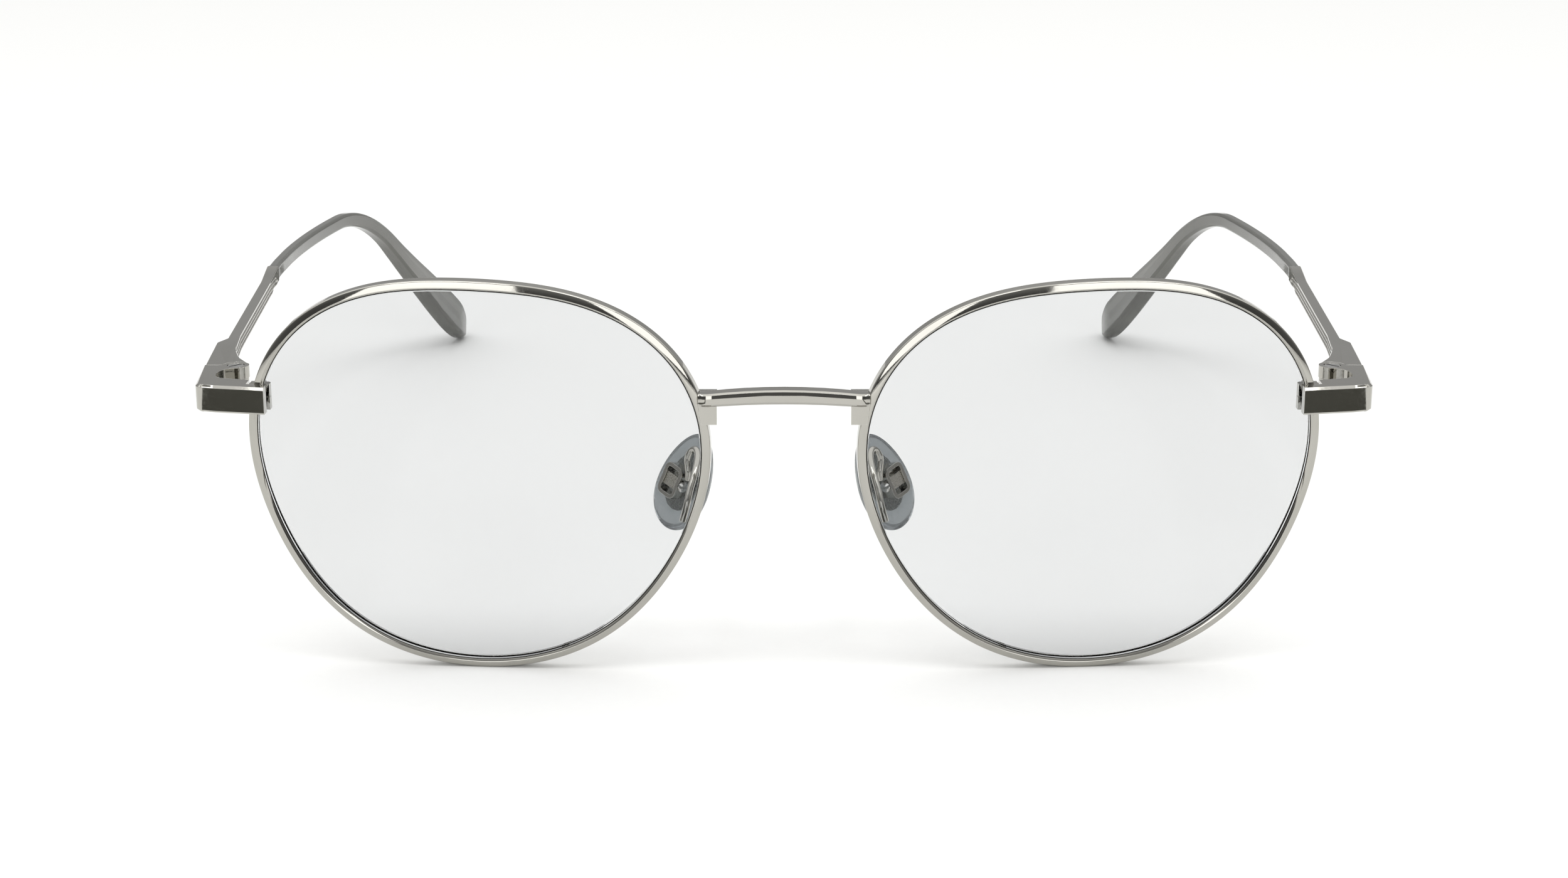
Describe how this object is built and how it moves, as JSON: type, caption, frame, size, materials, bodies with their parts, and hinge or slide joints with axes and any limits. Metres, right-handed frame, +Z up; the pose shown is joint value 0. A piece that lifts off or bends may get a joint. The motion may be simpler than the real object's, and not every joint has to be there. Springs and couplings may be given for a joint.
{
  "type": "round wire eyeglasses",
  "caption": "Round wire eyeglasses with clear lenses, screw hinges that fold the temples, rocking silicone nose pads and acetate temple tips.",
  "frame": {"origin": "centre of the bounding box of the open glasses, on the plane that the rims and temple tips rest on", "axes": "+X to the wearer's left, +Y from the front towards the temple tips, +Z up"},
  "size_m": [0.145, 0.1492, 0.0479],
  "materials": {
    "polished_silver_plate": "polished silver-coloured plate on nickel alloy",
    "clear_lens": "clear polished resin lens",
    "smoke_acetate": "polished translucent smoke-grey acetate",
    "clear_silicone": "clear moulded silicone, satin"
  },
  "bodies": {
    "front": {"bridge": "polished_silver_plate", "lens_left": "clear_lens", "lens_right": "clear_lens", "rim_left": "polished_silver_plate", "rim_right": "polished_silver_plate", "endpiece_left": "polished_silver_plate", "endpiece_right": "polished_silver_plate", "closing_block_upper_left": "polished_silver_plate", "closing_block_upper_right": "polished_silver_plate", "closing_block_lower_left": "polished_silver_plate", "closing_block_lower_right": "polished_silver_plate", "closing_screw_left": "polished_silver_plate", "closing_screw_right": "polished_silver_plate", "hinge_screw_left": "polished_silver_plate", "hinge_screw_right": "polished_silver_plate", "pad_arm_left": "polished_silver_plate", "pad_arm_right": "polished_silver_plate", "pad_box_left": "polished_silver_plate", "pad_box_right": "polished_silver_plate", "pad_screw_left": "polished_silver_plate", "pad_screw_right": "polished_silver_plate"},
    "temple_left": {"temple_left": "polished_silver_plate", "temple_tip_left": "smoke_acetate"},
    "temple_right": {"temple_right": "polished_silver_plate", "temple_tip_right": "smoke_acetate"},
    "nose_pad_left": {"nose_pad_left": "clear_silicone", "pad_insert_left": "polished_silver_plate"},
    "nose_pad_right": {"nose_pad_right": "clear_silicone", "pad_insert_right": "polished_silver_plate"}
  },
  "joints": [
    {"name": "temple_fold_left", "type": "hinge", "parent": "front", "child": "temple_left", "pos_m": [0.0654, -0.06145, 0.03306], "axis": [0, 0.045, 0.999], "range_deg": [0, 88]},
    {"name": "temple_fold_right", "type": "hinge", "parent": "front", "child": "temple_right", "pos_m": [-0.0654, -0.06145, 0.03306], "axis": [0, -0.045, -0.999], "range_deg": [0, 80]},
    {"name": "nose_pad_rock_left", "type": "hinge", "parent": "front", "child": "nose_pad_left", "pos_m": [0.01321, -0.0636, 0.02083], "axis": [0.6556, 0.7183, 0.2328], "range_deg": [-12, 12]},
    {"name": "nose_pad_rock_right", "type": "hinge", "parent": "front", "child": "nose_pad_right", "pos_m": [-0.01321, -0.0636, 0.02083], "axis": [0.6556, -0.7183, -0.2328], "range_deg": [-12, 12]}
  ]
}
